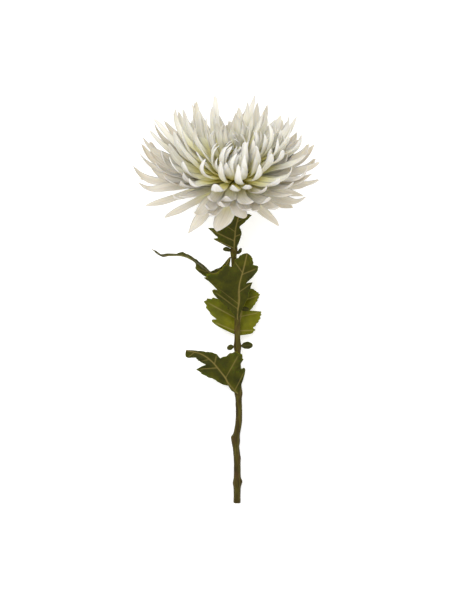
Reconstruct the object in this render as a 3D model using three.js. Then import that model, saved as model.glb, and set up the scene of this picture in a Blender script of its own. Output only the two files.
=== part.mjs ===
// Cut chrysanthemum, lying down: one woody stem, five lobed leaves, small
// leaflets at the stem joints, and a single reflexed-incurved bloom.
//
// Frame: X across the bloom, Y from the cut end of the stem to the bloom,
// Z up from the surface the flower lies on.  Millimetres and degrees.
import * as THREE from 'three';

// ---- whole flower ----------------------------------------------------
const STEM_REACH = 257;        // cut end to the middle of the receptacle
const BLOOM_HEIGHT = 49;       // receptacle above the surface
const BLOOM_TILT = 42;         // bloom axis raised from the surface
const CLEARANCE = 0.35;        // left between pieces that touch

// ---- stem ------------------------------------------------------------
const STEM_RADIUS = 2.7;       // at the cut end
const NECK_RADIUS = 2.1;       // just under the bloom
const JOINT_SWELLING = 0.8;    // extra radius where leaves leave the stem
const JOINT_LENGTH = 3.0;
const STEM_SIDES = 12;
const RECEPTACLE_RADIUS = 11;  // domed end of the stem that carries petals
const JOINTS = [0.065, 0.195, 0.345, 0.49, 0.605, 0.785];

// Across, along (share of STEM_REACH) and up (share of BLOOM_HEIGHT).
const STEM_COURSE = [
  [1.9, 0, 0.05],
  [2.0, 0.13, 0.08],
  [0.9, 0.195, 0.10],
  [3.3, 0.26, 0.13],
  [3.0, 0.345, 0.18],
  [2.2, 0.49, 0.285],
  [1.8, 0.605, 0.385],
  [-0.6, 0.75, 0.535],
  [-0.4, 0.80, 0.60],
  [2.0, 0.865, 0.70],
  [1.8, 0.925, 0.80],
];

// ---- petals ----------------------------------------------------------
const PETAL_LENGTH = 68;       // a petal of the outer whorls
const HEART_LENGTH = 30;       // innermost petals
const PETAL_WIDTH = 10.2;
const HEART_WIDTH = 7;
const PETAL_BASE = 0.218 * RECEPTACLE_RADIUS;     // width where a petal leaves the dome
const HEART_BASE = 0.16 * RECEPTACLE_RADIUS;
const PETAL_CHANNEL = 0.148 * RECEPTACLE_RADIUS;  // how far its edges rise, so whorls nest
const HEART_CHANNEL = 0.085 * RECEPTACLE_RADIUS;
const PETAL_THICKNESS = 0.7;
const WHORLS = 12;             // whorl 0 is the drooping skirt
const FULLEST_WHORL = 19;      // petals in a whorl round the widest part
const FOOT_SPACING = 2 * Math.PI * RECEPTACLE_RADIUS / FULLEST_WHORL;  // between petal bases
const OUTER_POLAR = 94;        // where whorl 1 leaves the dome, from its axis
const HEART_POLAR = 8;
const PRESS_HEIGHT = 4;        // petals flatten out below this height
const FLOOR_GAP = 0.4;         // middle of a pressed petal above the surface
const BAND_HALF_WIDTH = 3;     // degrees of the dome one whorl grows from
const BAND_THICKNESS = 1;

// Skirt petals: azimuth, polar angle, share of PETAL_LENGTH, curl and
// share of PETAL_WIDTH.
const SKIRT = [
  [-52, 109, 0.64, 8, 0.9],
  [-27, 105, 0.60, -4, 1.1],
  [-11, 103, 0.65, 2, 0.9],
  [5, 103, 0.72, 8, 0.85],
  [24, 104, 0.76, 10, 0.9],
  [45, 104, 0.78, 10, 0.9],
  [66, 104, 0.78, 10, 0.9],
  [88, 104, 0.72, 10, 0.9],
  [110, 104, 0.76, 10, 0.9],
  [132, 104, 0.82, 10, 0.9],
  [155, 104, 0.90, 10, 0.9],
  [175, 103, 0.98, 14, 0.8],
  [193, 104, 0.92, 10, 0.8],
  [211, 105, 0.80, 6, 0.9],
  [233, 109, 0.76, 2, 1.0],
  [256, 110, 0.60, 4, 1.45],
];

// ---- cup of bracts under the bloom ------------------------------------
const BRACTS = 13;
const BRACT_POLAR = 146;
const BRACT_LENGTH = RECEPTACLE_RADIUS;
const BRACT_WIDTH = 0.38 * RECEPTACLE_RADIUS;
const BRACT_BASE = 0.22 * RECEPTACLE_RADIUS;
const COLLAR_HALF_WIDTH = 6;   // degrees of the dome
const COLLAR_THICKNESS = 0.9;

// ---- leaves ----------------------------------------------------------
const LEAF_SCALE = 1;
const LEAF_THICKNESS = 0.7;
const PETIOLE_HALF_WIDTH = 0.9;

// joint: share of the stem; seat: degrees round the stem, 90 is on top.
// midrib: steps from the joint; slant: lean of the side veins from the midrib,
// at its base and its tip; left, right: the outline, as [place along the
// midrib, length of the side vein there], from stalk to tip; roll: turn of the
// blade about the midrib at its base and at its tip.
const LEAVES = [
  {
    name: 'upper_leaf', joint: 0.79, seat: 90, slant: [68, 42], roll: [0, 4], cup: 0.006,
    midrib: [[0, 0, 0], [1, 14, 6.5], [2.3, 21, 9.5], [6, 34, 15.5]],
    left: [[0.03, 18.5], [0.09, 14.5], [0.15, 24], [0.25, 12], [0.33, 11.5], [0.54, 7.2], [0.77, 7.6]],
    right: [[0.04, 2.3], [0.23, 6], [0.45, 2.6], [0.62, 9], [0.69, 13], [0.82, 5.2], [0.91, 6]],
  },
  {
    name: 'middle_leaf', joint: 0.574, seat: 90, slant: [66, 44], roll: [0, 0], cup: 0.004,
    midrib: [[0, 0, 0], [0.4, 7, 2.6], [1.6, 15, 6], [1.6, 27, 10], [5.1, 41, 14], [7.6, 52, 17]],
    left: [[0.08, 3], [0.16, 8], [0.2, 20], [0.24, 27.5], [0.29, 22], [0.34, 33], [0.51, 31],
      [0.56, 22], [0.64, 19], [0.68, 11], [0.74, 12], [0.82, 8.5]],
    right: [[0.15, 2.8], [0.34, 5.5], [0.52, 13.4], [0.58, 6.6], [0.66, 13.5], [0.72, 15],
      [0.78, 9], [0.86, 7]],
  },
  {
    name: 'back_leaf', joint: 0.521, seat: 270, slant: [80, 48], roll: [0, 0], cup: -0.003,
    midrib: [[0, 0, 0], [2.4, 13.5, -1.5], [4.8, 25.4, -1], [8, 37.4, 1]],
    left: [[0.02, 13], [0.07, 24], [0.13, 20], [0.19, 28], [0.29, 33.5], [0.36, 29], [0.45, 19],
      [0.7, 15]],
    right: [[0.03, 11], [0.09, 14], [0.13, 12], [0.25, 16.5], [0.38, 17.5], [0.46, 7], [0.62, 12],
      [0.74, 13.5], [0.88, 8]],
  },
  {
    name: 'side_leaf', joint: 0.765, seat: 188, slant: [42, 38], roll: [10, 76], cup: 0.004,
    midrib: [[0, 0, 0], [-5, -9, -2], [-14, -13.5, -4], [-23, -8, -6], [-30, -2.5, -7],
      [-39, 1, -8.5], [-54, 1.5, -10], [-62, 6, -13]],
    left: [[0.2, 9], [0.27, 5], [0.34, 12], [0.45, 6], [0.55, 10], [0.68, 5], [0.8, 6]],
    right: [[0.16, 7], [0.28, 4], [0.4, 10], [0.5, 6], [0.6, 11], [0.72, 5], [0.82, 6]],
  },
  {
    name: 'lower_leaf', joint: 0.345, seat: 96, slant: [70, 44], roll: [-22, -12], cup: 0.002,
    midrib: [[0, 0, 0], [-7, 7.5, 2], [-11, 14, 3], [-20, 25, 4], [-29, 31.5, 3.4], [-41, 34.5, 0]],
    left: [[0.08, 2.2], [0.18, 1.4], [0.27, 8], [0.38, 11], [0.52, 17.5], [0.58, 6.5], [0.66, 8.5],
      [0.78, 6], [0.89, 8.5]],
    right: [[0.03, 11], [0.07, 22], [0.14, 19.5], [0.24, 22], [0.36, 25], [0.43, 20], [0.52, 8.3],
      [0.72, 4], [0.83, 2.2]],
  },
];

// Small oval leaflets at the stem joints: `wide` is half their greatest width.
const LEAFLETS = [
  {
    name: 'leaflet_upper_left', joint: 0.785, seat: 150, wide: 2,
    midrib: [[0, 0, 0], [-3, 1, 1.2], [-6, 1, 2]],
  },
  {
    name: 'leaflet_upper_right', joint: 0.775, seat: 0, wide: 1.6,
    midrib: [[0, 0, 0], [2, 1.5, 0.5], [3.5, 4.2, 0.5]],
  },
  {
    name: 'leaflet_middle_left', joint: 0.605, seat: 180, wide: 1.6,
    midrib: [[0, 0, 0], [-2, 0.8, 0], [-4.5, 1, 0]],
  },
  {
    name: 'leaflet_middle_right', joint: 0.605, seat: 0, wide: 2.2,
    midrib: [[0, 0, 0], [3, 0, 0], [6.5, -0.6, 0]],
  },
  {
    name: 'leaflet_lower_left', joint: 0.49, seat: 180, wide: 2.4,
    midrib: [[0, 0, 0], [-2, -0.6, 0], [-5, -2, 0]],
  },
  {
    name: 'leaflet_lower_right', joint: 0.49, seat: 0, wide: 3.2,
    midrib: [[0, 0, 0], [4, 0.6, 0.4], [9, 0.6, 0.6]],
  },
];

// ---- materials ---------------------------------------------------------
function newMaterial(name, color, roughness) {
  const material = new THREE.MeshStandardMaterial({ color, roughness, metalness: 0 });
  material.name = name;
  return material;
}

const petalMaterial = newMaterial('petal_white', '#d8d2c6', 0.55);
const heartMaterial = newMaterial('petal_heart', '#cfc9a8', 0.55);
const leafMaterial = newMaterial('leaf_green', '#4a4a0c', 0.6);
const stemMaterial = newMaterial('stem_olive', '#4b4410', 0.65);

// ---- small helpers -------------------------------------------------------
const radians = THREE.MathUtils.degToRad;
const mix = THREE.MathUtils.lerp;
const ease = (x, from, to) => THREE.MathUtils.smoothstep(x, from, to);
const point = (x, y, z) => new THREE.Vector3(x, y, z);

// Repeatable irregularity from -1 to 1 for petal `item` of whorl `row`.
function wander(row, item, kind) {
  let h = (Math.imul(row, 73856093) ^ Math.imul(item, 19349663) ^ Math.imul(kind, 83492791)) >>> 0;
  h = Math.imul(h ^ (h >>> 15), 2246822519) >>> 0;
  h = (h ^ (h >>> 13)) >>> 0;
  h = Math.imul(h, 3266489917) >>> 0;
  h = (h ^ (h >>> 16)) >>> 0;
  return h / 2 ** 31 - 1;
}

// Triangles over a row of rings that all have the same even number of points.
// The diagonals mirror each other on the two sides of a blade, so that its two
// thin walls bend alike and never meet.
function skin(rings, openFirst = false) {
  const faces = [];
  for (let i = 1; i < rings.length; i += 1) {
    const here = rings[i - 1];
    const next = rings[i];
    here.forEach((corner, j) => {
      const k = (j + 1) % here.length;
      if (j % 2 === 0) {
        faces.push([corner, here[k], next[j]], [here[k], next[k], next[j]]);
      } else {
        faces.push([corner, here[k], next[k]], [corner, next[k], next[j]]);
      }
    });
  }
  const first = rings[0];
  const last = rings[rings.length - 1];
  for (let j = 1; j < last.length - 1; j += 1) {
    faces.push([last[0], last[j], last[j + 1]]);
    if (!openFirst) {
      faces.push([first[0], first[j + 1], first[j]]);
    }
  }
  return faces;
}

function toGeometry(faces) {
  const positions = faces.flat().flatMap((p) => [p.x, p.y, p.z]);
  const geometry = new THREE.BufferGeometry();
  geometry.setAttribute('position', new THREE.Float32BufferAttribute(positions, 3));
  geometry.computeVertexNormals();
  return geometry;
}

// ---- stem and receptacle ---------------------------------------------------
const bloomCentre = point(0, STEM_REACH, BLOOM_HEIGHT);
const bloomAxis = point(0, Math.cos(radians(BLOOM_TILT)), Math.sin(radians(BLOOM_TILT)));
const bloomAcross = point(1, 0, 0);
const bloomDown = new THREE.Vector3().crossVectors(bloomAxis, bloomAcross);

const stemPoints = STEM_COURSE.map(([across, along, up]) => (
  point(across, along * STEM_REACH, up * BLOOM_HEIGHT)));
const dome = (share) => bloomCentre.clone().addScaledVector(bloomAxis, share * RECEPTACLE_RADIUS);
const stemCurve = new THREE.CatmullRomCurve3([...stemPoints, dome(-1)], false, 'catmullrom', 0.5);

function stemRadius(along) {
  let radius = mix(STEM_RADIUS, NECK_RADIUS, along);
  for (const joint of JOINTS) {
    radius += JOINT_SWELLING * Math.exp(-(((along - joint) * STEM_REACH / JOINT_LENGTH) ** 2));
  }
  return radius;
}

function ringAround(centre, direction, radius) {
  const across = point(1, 0, 0).addScaledVector(direction, -direction.x).normalize();
  const other = new THREE.Vector3().crossVectors(direction, across);
  const ring = [];
  for (let j = 0; j < STEM_SIDES; j += 1) {
    const turn = 2 * Math.PI * j / STEM_SIDES;
    ring.push(centre.clone()
      .addScaledVector(across, radius * Math.cos(turn))
      .addScaledVector(other, radius * Math.sin(turn)));
  }
  return ring;
}

// The stem's centre where it has run a given share of STEM_REACH.
function stemAt(along) {
  let low = 0;
  let high = 1;
  for (let step = 0; step < 30; step += 1) {
    const middle = (low + high) / 2;
    if (stemCurve.getPoint(middle).y < along * STEM_REACH) {
      low = middle;
    } else {
      high = middle;
    }
  }
  return { centre: stemCurve.getPoint(low), direction: stemCurve.getTangent(low) };
}

function buildStem() {
  const stations = [];
  for (let i = 0; i <= 14; i += 1) {
    stations.push(0.92 * i / 14);
  }
  for (const joint of JOINTS) {
    const half = JOINT_LENGTH / STEM_REACH;
    stations.push(joint - half, joint, joint + half);
  }
  stations.sort((a, b) => a - b);
  const spaced = stations.filter((s, i) => i === 0 || s - stations[i - 1] > 0.004);
  const rings = spaced.map((along) => {
    const { centre, direction } = stemAt(along);
    return ringAround(centre, direction, stemRadius(along));
  });
  const flare = stemAt(0.945);
  const flareDirection = bloomAxis.clone().add(flare.direction).normalize();
  rings.push(ringAround(flare.centre, flareDirection, NECK_RADIUS * 1.15));
  for (const share of [-0.95, -0.8, -0.55, -0.2, 0.2, 0.55, 0.8, 0.95]) {
    const radius = RECEPTACLE_RADIUS * Math.sqrt(1 - share * share);
    rings.push(ringAround(dome(share), bloomAxis, radius));
  }
  rings.push(ringAround(dome(0.995), bloomAxis, 0.06 * RECEPTACLE_RADIUS));
  return skin(rings);
}

// ---- petals and bracts -------------------------------------------------------
// Petals near the surface flatten against it instead of passing through.
function press(height) {
  if (height >= PRESS_HEIGHT) {
    return height;
  }
  const depth = PRESS_HEIGHT - FLOOR_GAP;
  return FLOOR_GAP + depth * (1 - Math.tanh((PRESS_HEIGHT - height) / depth));
}

// Direction of the petal's middle line a share `u` along it.
function petalHeading(petal, u) {
  const polar = petal.polar + petal.lean - petal.curl * u ** 1.6
    - petal.hook * ease(u, 0.68, 1);
  return [radians(polar), radians(petal.azimuth + petal.sway * u ** 1.5)];
}

function petalHalfWidth(petal, u) {
  const taper = Math.max(0, (u - 0.6) / 0.4);
  const body = mix(petal.base, petal.width, ease(u, -0.1, 0.6));
  return body / 2 * (1 - taper * taper) ** petal.point;
}

// Rings of four points: right edge, inner face, left edge, outer face.
function petalRings(petal, spans) {
  const rings = [];
  const fine = 4;
  const start = petal.start;
  const polar = radians(petal.polar);
  const azimuth = radians(petal.azimuth);
  const middle = point(
    start * Math.sin(polar) * Math.cos(azimuth),
    start * Math.sin(polar) * Math.sin(azimuth),
    start * Math.cos(polar),
  );
  for (let i = 0; i <= spans; i += 1) {
    const u = i / spans;
    const [tilt, turn] = petalHeading(petal, u);
    const side = point(-Math.sin(turn), Math.cos(turn), 0);
    const inward = point(
      -Math.cos(tilt) * Math.cos(turn), -Math.cos(tilt) * Math.sin(turn), Math.sin(tilt));
    const twist = radians(petal.twist) * u ** 1.2;
    const across = side.clone().multiplyScalar(Math.cos(twist)).addScaledVector(inward, Math.sin(twist));
    const face = inward.clone().multiplyScalar(Math.cos(twist)).addScaledVector(side, -Math.sin(twist));
    const half = Math.max(petalHalfWidth(petal, u), 0.25);
    const arc = radians(mix(petal.gutter, petal.channel, ease(u, 0, 0.45)) + 18 * ease(u, 0.75, 1));
    const reach = half * Math.sin(arc) / arc;
    const rise = half * (1 - Math.cos(arc)) / arc;
    const thick = PETAL_THICKNESS / 2 * (1 - 0.5 * u);
    const place = (right, up) => {
      const local = middle.clone().addScaledVector(across, right).addScaledVector(face, up);
      const world = bloomCentre.clone()
        .addScaledVector(bloomAcross, local.x)
        .addScaledVector(bloomDown, local.y)
        .addScaledVector(bloomAxis, local.z);
      world.z = press(world.z);
      return world;
    };
    rings.push([place(reach, rise), place(0, thick), place(-reach, rise), place(0, -thick)]);
    for (let step = 0; step < fine && i < spans; step += 1) {
      const [t, a] = petalHeading(petal, (i + (step + 0.5) / fine) / spans);
      const length = petal.length / spans / fine;
      middle.x += length * Math.sin(t) * Math.cos(a);
      middle.y += length * Math.sin(t) * Math.sin(a);
      middle.z += length * Math.cos(t);
    }
  }
  return rings;
}

const onDome = { lean: 0, start: RECEPTACLE_RADIUS + CLEARANCE, gutter: 70 };

// Bend of a petal's section, middle to edge, that lifts its edges by `depth`.
function channelAngle(width, depth) {
  return THREE.MathUtils.radToDeg(2 * depth / (width / 2));
}

// 1 at `centre` degrees round the bloom, fading away over `spread` degrees.
function around(azimuth, centre, spread) {
  const away = THREE.MathUtils.euclideanModulo(azimuth - centre + 180, 360) - 180;
  return Math.exp(-((away / spread) ** 2));
}

function skirtPetals() {
  return SKIRT.map(([azimuth, polar, share, curl, wide], item) => ({
    ...onDome,
    polar,
    azimuth,
    length: share * PETAL_LENGTH,
    curl,
    hook: 10 * (1 + wander(0, item, 1)),
    sway: 4 * wander(0, item, 2),
    twist: 14 * wander(0, item, 3),
    width: wide * PETAL_WIDTH,
    base: PETAL_BASE,
    point: 0.75 + 0.3 * wander(0, item, 4),
    channel: channelAngle(wide * PETAL_WIDTH, 0.8 * PETAL_CHANNEL * (1 + 0.27 * wander(0, item, 5))),
  }));
}

function whorlPolar(whorl) {
  return mix(OUTER_POLAR, HEART_POLAR, (whorl - 1) / (WHORLS - 2));
}

// Outer petals on the side that faces the stem splay and hook at the tip, and
// inner ones there hood the heart.  A gap parts the far side into two lobes,
// and the innermost petals stay short round the eye.
function whorlPetals(whorl) {
  const inside = (whorl - 1) / (WHORLS - 2);
  const polar = whorlPolar(whorl);
  const count = Math.round(FULLEST_WHORL * Math.sin(radians(polar)));
  const opened = Math.min(1, 3 * (1 - inside));
  const splayed = 1 - ease(inside, 0.25, 0.45);
  const hooded = ease(inside, 0.3, 0.5) * (1 - ease(inside, 0.8, 1));
  const eye = ease(inside, 0.72, 1);
  const petals = [];
  for (let item = 0; item < count; item += 1) {
    const azimuth = 360 * (item + 0.5 * (whorl % 2)) / count + 17 * whorl;
    const sideways = Math.cos(radians(azimuth));
    const near = Math.max(0, -Math.sin(radians(azimuth)));
    const far = Math.max(0, Math.sin(radians(azimuth)));
    const claw = wander(whorl, item, 8) > 0.45 ? 24 : 0;
    const length = mix(PETAL_LENGTH, HEART_LENGTH, inside ** 2.2)
      * (1 + (0.1 + 0.08 * hooded) * wander(whorl, item, 6))
      * (1 - 0.34 * near * splayed - 0.36 * near * hooded - 0.15 * opened * far - 0.55 * eye)
      * (1 - 0.32 * opened * around(azimuth, 101, 13))
      * (1 + 0.09 * opened * Math.max(0, -sideways) - 0.07 * opened * Math.max(0, sideways));
    const width = mix(PETAL_WIDTH, HEART_WIDTH, inside) * (1 - 0.28 * hooded - 0.25 * eye)
      + FOOT_SPACING * (0.35 * near * splayed + 0.33 * wander(whorl, item, 10));
    const depth = mix(PETAL_CHANNEL, HEART_CHANNEL, inside) * (1 + 0.35 * wander(whorl, item, 5));
    petals.push({
      ...onDome,
      polar: polar + 0.8 * wander(whorl, item, 7),
      azimuth: azimuth + 0.8 * wander(whorl, item, 9),
      length,
      curl: 10 + 0.36 * polar + 10 * Math.sin(Math.PI * inside)
        + (8 + 8 * hooded) * wander(whorl, item, 0)
        - 20 * near * splayed + 52 * near * hooded - 7 * opened * sideways * sideways,
      hook: (18 + 14 * wander(whorl, item, 1) + claw + 16 * near * splayed) * (1 - 0.4 * inside),
      sway: 12 * wander(whorl, item, 2) - Math.max(34 * inside * inside, 52 * hooded),
      twist: 24 * wander(whorl, item, 3) - 30 * inside * inside,
      width,
      base: mix(PETAL_BASE, HEART_BASE, inside),
      point: 0.72 + 0.34 * wander(whorl, item, 4),
      channel: channelAngle(width, depth),
    });
  }
  return petals;
}

// Petals that share a narrow band round the dome.  Each petal's skin starts
// at its own window in the band, in the outer side (1) or the front side (0).
function whorlFaces(petals, polar, halfWidth, thick, spans, window) {
  const inner = RECEPTACLE_RADIUS + CLEARANCE;
  const section = (azimuth, petal) => {
    const turn = radians(azimuth);
    const corner = (angle, radius) => bloomCentre.clone()
      .addScaledVector(bloomAcross, radius * Math.sin(radians(angle)) * Math.cos(turn))
      .addScaledVector(bloomDown, radius * Math.sin(radians(angle)) * Math.sin(turn))
      .addScaledVector(bloomAxis, radius * Math.cos(radians(angle)));
    return {
      petal,
      corners: [
        corner(polar - halfWidth, inner),
        corner(polar - halfWidth, inner + thick),
        corner(polar + halfWidth, inner + thick),
        corner(polar + halfWidth, inner),
      ],
    };
  };
  const sections = [];
  petals.forEach((petal, item) => {
    const reach = inner * Math.sin(radians(polar));
    const half = THREE.MathUtils.radToDeg(Math.asin(Math.min(0.9, petal.base / 2 / reach)));
    const next = petals[(item + 1) % petals.length].azimuth + (item + 1 === petals.length ? 360 : 0);
    sections.push(section(petal.azimuth - half, petal));
    sections.push(section(petal.azimuth + half, null));
    const gap = next - petal.azimuth - 2 * half;
    const extra = Math.floor(gap / 24);
    for (let step = 1; step <= extra; step += 1) {
      sections.push(section(petal.azimuth + half + gap * step / (extra + 1), null));
    }
  });
  const faces = [];
  sections.forEach(({ petal, corners }, i) => {
    const next = sections[(i + 1) % sections.length].corners;
    for (let j = 0; j < 4; j += 1) {
      const k = (j + 1) % 4;
      if (petal && j === window) {
        const rim = window === 1
          ? [next[1], corners[1], corners[2], next[2]]
          : [next[0], corners[0], corners[1], next[1]];
        faces.push(...skin([rim, ...petalRings(petal, spans).slice(1)], true));
      } else {
        faces.push([corners[j], corners[k], next[j]], [corners[k], next[k], next[j]]);
      }
    }
  });
  return faces;
}

function buildBracts() {
  const bracts = [];
  for (let item = 0; item < BRACTS; item += 1) {
    bracts.push({
      start: RECEPTACLE_RADIUS + CLEARANCE + COLLAR_THICKNESS / 2,
      gutter: 8,
      polar: BRACT_POLAR - COLLAR_HALF_WIDTH,
      azimuth: 360 * item / BRACTS,
      lean: -72,
      length: BRACT_LENGTH,
      curl: -18,
      hook: 0,
      sway: 0,
      twist: 0,
      width: BRACT_WIDTH,
      base: BRACT_BASE,
      point: 0.8,
      channel: 24,
    });
  }
  return whorlFaces(bracts, BRACT_POLAR, COLLAR_HALF_WIDTH, COLLAR_THICKNESS, 4, 0);
}

// ---- leaves ------------------------------------------------------------------
// The outline with the stalk before it and the tip after it.
const wholeOutline = (outline) => [[0, PETIOLE_HALF_WIDTH], ...outline, [1, 0.4]];

// Length of the side vein a share `u` along the midrib.
function veinLength(outline, u) {
  for (let i = 1; i < outline.length; i += 1) {
    if (u <= outline[i][0]) {
      const [from, before] = outline[i - 1];
      const [to, after] = outline[i];
      return mix(before, after, (u - from) / (to - from));
    }
  }
  return outline[outline.length - 1][1];
}

function buildLeaf(leaf) {
  const { centre, direction } = stemAt(leaf.joint);
  const seat = radians(leaf.seat);
  const across = point(1, 0, 0).addScaledVector(direction, -direction.x).normalize();
  const above = new THREE.Vector3().crossVectors(across, direction);
  const standoff = stemRadius(leaf.joint) + CLEARANCE + Math.max(
    LEAF_THICKNESS / 2, PETIOLE_HALF_WIDTH * Math.abs(Math.cos(seat)));
  const foot = centre.clone()
    .addScaledVector(across, standoff * Math.cos(seat))
    .addScaledVector(above, standoff * Math.sin(seat));
  const midrib = new THREE.CatmullRomCurve3(
    leaf.midrib.map(([x, y, z]) => foot.clone().addScaledVector(point(x, y, z), LEAF_SCALE)),
    false, 'catmullrom', 0.5);
  const left = wholeOutline(leaf.left);
  const right = wholeOutline(leaf.right);
  const places = [...left, ...right].map(([place]) => place).sort((a, b) => a - b);
  const stations = places.filter((s, i) => i === 0 || s - places[i - 1] > 0.012);
  const rings = stations.map((u) => {
    const centreHere = midrib.getPoint(u);
    const along = midrib.getTangent(u);
    const flat = new THREE.Vector3().crossVectors(along, point(0, 0, 1)).normalize();
    const out = new THREE.Vector3().crossVectors(flat, along);
    const roll = radians(mix(leaf.roll[0], leaf.roll[1], ease(u, 0.05, 0.45)));
    const side = flat.clone().multiplyScalar(Math.cos(roll)).addScaledVector(out, -Math.sin(roll));
    const face = out.clone().multiplyScalar(Math.cos(roll)).addScaledVector(flat, Math.sin(roll));
    const slant = radians(mix(leaf.slant[0], leaf.slant[1], u));
    const place = (share, level) => {
      const reach = Math.abs(share) * LEAF_SCALE * veinLength(share < 0 ? left : right, u);
      const lift = leaf.cup * reach * reach + level * LEAF_THICKNESS / 2 * (1 - 0.5 * Math.abs(share));
      return centreHere.clone()
        .addScaledVector(side, Math.sign(share) * reach * Math.sin(slant))
        .addScaledVector(along, reach * Math.cos(slant))
        .addScaledVector(face, lift);
    };
    return [
      place(-1, 0), place(-0.5, 1), place(0, 1), place(0.5, 1),
      place(1, 0), place(0.5, -1), place(0, -1), place(-0.5, -1),
    ];
  });
  return skin(rings);
}

function leafletAsLeaf({ name, joint, seat, midrib, wide }) {
  const side = [[0.2, 0.8 * wide], [0.5, wide], [0.8, 0.7 * wide]];
  return { name, joint, seat, slant: [75, 60], roll: [0, 0], cup: 0.02, midrib, left: side, right: side };
}

// ---- assembly ------------------------------------------------------------------
const flower = new THREE.Group();
flower.name = 'cut_chrysanthemum';

function addPiece(name, faces, material) {
  const mesh = new THREE.Mesh(toGeometry(faces), material);
  mesh.name = name;
  flower.add(mesh);
}

const twoDigits = (n) => String(n).padStart(2, '0');

addPiece('stem', buildStem(), stemMaterial);
addPiece('bract_cup', buildBracts(), leafMaterial);
for (const leaf of LEAVES) {
  addPiece(leaf.name, buildLeaf(leaf), leafMaterial);
}
for (const leaflet of LEAFLETS) {
  addPiece(leaflet.name, buildLeaf(leafletAsLeaf(leaflet)), leafMaterial);
}
skirtPetals().forEach((petal, item) => {
  addPiece(`skirt_petal_${twoDigits(item + 1)}`, skin(petalRings(petal, 6)), petalMaterial);
});
whorlPetals(1).forEach((petal, item) => {
  addPiece(`outer_petal_${twoDigits(item + 1)}`, skin(petalRings(petal, 6)), petalMaterial);
});
for (let whorl = 2; whorl < WHORLS; whorl += 1) {
  const faces = whorlFaces(
    whorlPetals(whorl), whorlPolar(whorl), BAND_HALF_WIDTH, BAND_THICKNESS, 5, 1);
  const material = whorl > WHORLS / 2 ? heartMaterial : petalMaterial;
  addPiece(`petal_whorl_${twoDigits(whorl)}`, faces, material);
}

// Stand the flower on the surface with the middle of its footprint at the origin.
const box = new THREE.Box3().setFromObject(flower);
flower.position.set(-(box.min.x + box.max.x) / 2, -(box.min.y + box.max.y) / 2, -box.min.z);

export default flower;
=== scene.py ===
# %% [markdown]
# # A cut chrysanthemum, built petal by petal
#
# This lesson rebuilds one cut flower that lies on a table: a woody stem with
# lobed leaves and a single large white bloom.  A bloom like this is really a
# head of well over a hundred small flowers.  Each "petal" is one of them, and
# it grows from a dome called the receptacle.  So the plan is to write down
# how one petal grows, and then let the same rule grow them all.
#
# The solid model of the flower is loaded first.  It fixes where every piece
# is, and each finer piece below stands for one of its solids.

# %% Load the solid model
import bpy
import math
import numpy as np
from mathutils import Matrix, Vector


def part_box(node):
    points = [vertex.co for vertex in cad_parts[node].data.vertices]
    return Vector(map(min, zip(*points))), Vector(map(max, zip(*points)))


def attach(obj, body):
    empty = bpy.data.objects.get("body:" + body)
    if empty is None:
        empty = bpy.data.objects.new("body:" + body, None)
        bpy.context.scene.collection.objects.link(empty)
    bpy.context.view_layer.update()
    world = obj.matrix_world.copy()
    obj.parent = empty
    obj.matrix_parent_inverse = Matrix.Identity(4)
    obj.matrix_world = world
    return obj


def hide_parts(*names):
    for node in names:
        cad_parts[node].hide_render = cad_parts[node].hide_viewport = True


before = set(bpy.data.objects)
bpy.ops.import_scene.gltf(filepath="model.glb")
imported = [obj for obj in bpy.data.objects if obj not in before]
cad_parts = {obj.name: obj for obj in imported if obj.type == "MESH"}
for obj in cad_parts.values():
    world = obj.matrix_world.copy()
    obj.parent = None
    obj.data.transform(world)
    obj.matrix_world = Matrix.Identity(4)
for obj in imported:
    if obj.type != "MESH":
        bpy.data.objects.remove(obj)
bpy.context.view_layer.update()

# %% [markdown]
# ## Units and small helpers
#
# Blender works in metres, but a flower is easier to think of in millimetres,
# so all sizes here are millimetres and one function turns them into metres
# when a mesh is made.  `wander` gives repeatable irregularity: the same petal
# gets the same quirks every time the script is run.

# %% Helpers for numbers
MM = 0.001


def mix(a, b, t):
    return a + (b - a) * t


def ease(x, start, end):
    t = np.clip((np.asarray(x, float) - start) / (end - start), 0, 1)
    return t * t * (3 - 2 * t)


def wander(row, item, kind):
    """Irregularity from -1 to 1 for petal `item` of whorl `row`."""
    mask = 0xFFFFFFFF
    h = ((row * 73856093) ^ (item * 19349663) ^ (kind * 83492791)) & mask
    h = ((h ^ (h >> 15)) * 2246822519) & mask
    h ^= h >> 13
    h = (h * 3266489917) & mask
    h ^= h >> 16
    return h / 2**31 - 1


def smooth_curve(points, u):
    """Points on a soft curve through `points` at shares u (0 to 1)."""
    p = np.asarray(points, float)
    p = np.vstack([2 * p[0] - p[1], p, 2 * p[-1] - p[-2]])
    x = np.clip(np.asarray(u, float), 0, 1) * (len(p) - 3)
    i = np.minimum(x.astype(int), len(p) - 4)
    t = (x - i)[..., None]
    a, b, c, d = p[i], p[i + 1], p[i + 2], p[i + 3]
    return 0.5 * (2 * b + (c - a) * t + (2 * a - 5 * b + 4 * c - d) * t**2
                  + (3 * b - 3 * c + d - a) * t**3)


def unit(v):
    return v / np.maximum(np.linalg.norm(v, axis=-1, keepdims=True), 1e-12)


def wrap_degrees(a):
    return (a + 180) % 360 - 180


print("quirks of one petal:", [round(wander(3, 5, k), 2) for k in range(4)])

# %% [markdown]
# ## Where the bloom sits
#
# The solid called `stem` ends in the receptacle, a dome 22 mm wide.  Nothing
# on the stem reaches further across, forward or up than that dome, so the
# centre of the bloom can be read from the corners of the stem's box.  The
# bloom looks up at 42 degrees from the table, as a heavy head does when its
# neck bends.

# %% Find the middle of the bloom
DOME_RADIUS = 11.0
BLOOM_TILT = math.radians(42)

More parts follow.
